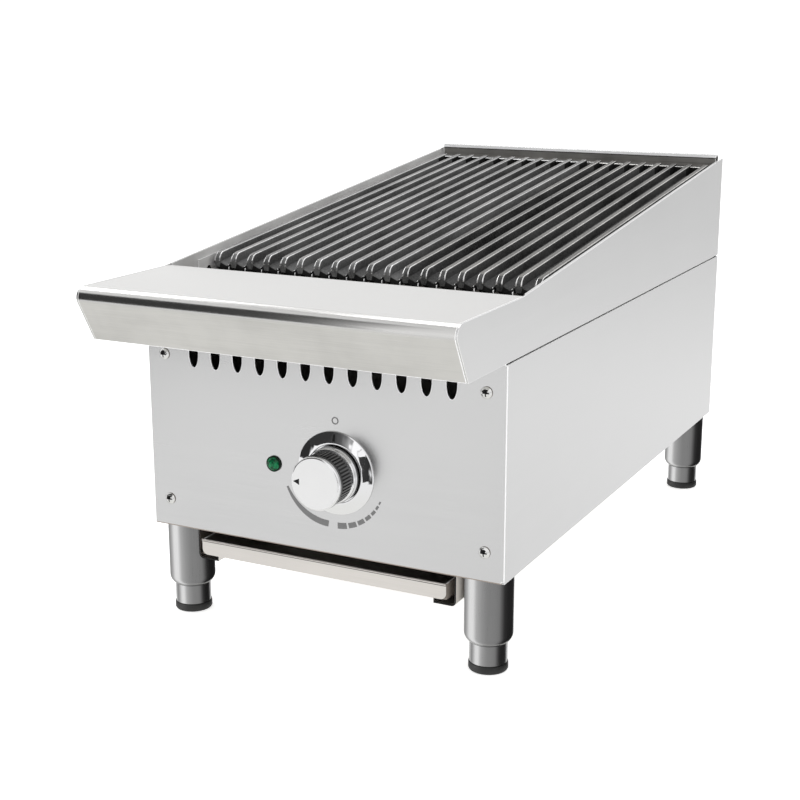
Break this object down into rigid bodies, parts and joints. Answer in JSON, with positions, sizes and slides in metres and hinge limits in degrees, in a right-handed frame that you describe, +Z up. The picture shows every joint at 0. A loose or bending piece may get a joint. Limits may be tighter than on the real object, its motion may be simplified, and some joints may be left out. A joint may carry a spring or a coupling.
{
  "type": "countertop charbroiler grill",
  "caption": "Countertop charbroiler: stainless body, sloping cast-iron grates, rolled front ledge, one control knob, pull-out drip tray and adjustable legs.",
  "frame": {"origin": "on the floor, below the middle of the overall outline", "axes": "+Z up, +Y from the front panel to the back, +X to the operator's right"},
  "size_m": [0.305, 0.643, 0.339],
  "materials": {
    "stainless": "fine horizontal brushing",
    "leg_steel": "satin, turned",
    "inner_steel": "heat darkened",
    "cast_iron": "seasoned casting",
    "element_sheath": "oxidised sheath",
    "chrome": "polished",
    "zinc": "plated",
    "black_plastic": "matte",
    "lead_cover": "matte",
    "lamp_green": "translucent",
    "scale_print": "printed ink",
    "ceramic": "unglazed",
    "foot_rubber": "matte"
  },
  "bodies": {
    "housing": {"front_panel": "stainless", "left_side_panel": "stainless", "right_side_panel": "stainless", "back_panel": "stainless", "base_pan": "inner_steel", "left_upper_side": "stainless", "right_upper_side": "stainless", "front_ledge": "stainless", "back_splash": "stainless", "left_liner": "inner_steel", "right_liner": "inner_steel", "back_liner": "inner_steel", "front_baffle": "inner_steel", "front_grate_rest": "inner_steel", "rear_grate_rest": "inner_steel", "left_element": "element_sheath", "right_element": "element_sheath", "element_nuts": "zinc", "front_element_support": "inner_steel", "rear_element_support": "inner_steel", "regulator_body": "black_plastic", "regulator_nut": "zinc", "knob_bezel": "chrome", "dial_scale": "scale_print", "lamp_body": "black_plastic", "lamp_lens": "lamp_green", "terminal_block": "ceramic", "supply_leads": "lead_cover", "lead_grommet": "foot_rubber", "cord_gland": "black_plastic", "gland_nut": "black_plastic", "left_runner": "stainless", "right_runner": "stainless", "runner_rivets": "zinc", "front_left_leg": "leg_steel", "front_right_leg": "leg_steel", "back_left_leg": "leg_steel", "back_right_leg": "leg_steel", "leg_bolts": "zinc", "front_panel_screws": "zinc", "back_panel_screws": "zinc", "liner_screws": "zinc"},
    "control_knob": {"knob": "chrome", "knob_shaft": "chrome", "knob_pointer": "black_plastic"},
    "drip_tray": {"drip_tray": "stainless"},
    "left_grate": {"left_grate": "cast_iron"},
    "right_grate": {"right_grate": "cast_iron"},
    "front_left_foot": {"front_left_foot": "leg_steel", "front_left_pad": "foot_rubber"},
    "front_right_foot": {"front_right_foot": "leg_steel", "front_right_pad": "foot_rubber"},
    "back_left_foot": {"back_left_foot": "leg_steel", "back_left_pad": "foot_rubber"},
    "back_right_foot": {"back_right_foot": "leg_steel", "back_right_pad": "foot_rubber"}
  },
  "joints": [
    {"name": "knob_turn", "type": "hinge", "parent": "housing", "child": "control_knob", "pos_m": [0.015, -0.2435, 0.141], "axis": [0, -1, 0], "range_deg": [-90, 155]},
    {"name": "tray_slide", "type": "slide", "parent": "housing", "child": "drip_tray", "axis": [0, -1, 0], "range_m": [0, 0.45]},
    {"name": "left_grate_lift", "type": "slide", "parent": "housing", "child": "left_grate", "axis": [0, 0, 1], "range_m": [0, 0.15]},
    {"name": "right_grate_lift", "type": "slide", "parent": "housing", "child": "right_grate", "axis": [0, 0, 1], "range_m": [0, 0.15]},
    {"name": "front_left_foot_screw", "type": "slide", "parent": "housing", "child": "front_left_foot", "axis": [0, 0, -1], "range_m": [0, 0.02]},
    {"name": "front_right_foot_screw", "type": "slide", "parent": "housing", "child": "front_right_foot", "axis": [0, 0, -1], "range_m": [0, 0.02]},
    {"name": "back_left_foot_screw", "type": "slide", "parent": "housing", "child": "back_left_foot", "axis": [0, 0, -1], "range_m": [0, 0.02]},
    {"name": "back_right_foot_screw", "type": "slide", "parent": "housing", "child": "back_right_foot", "axis": [0, 0, -1], "range_m": [0, 0.02]}
  ]
}
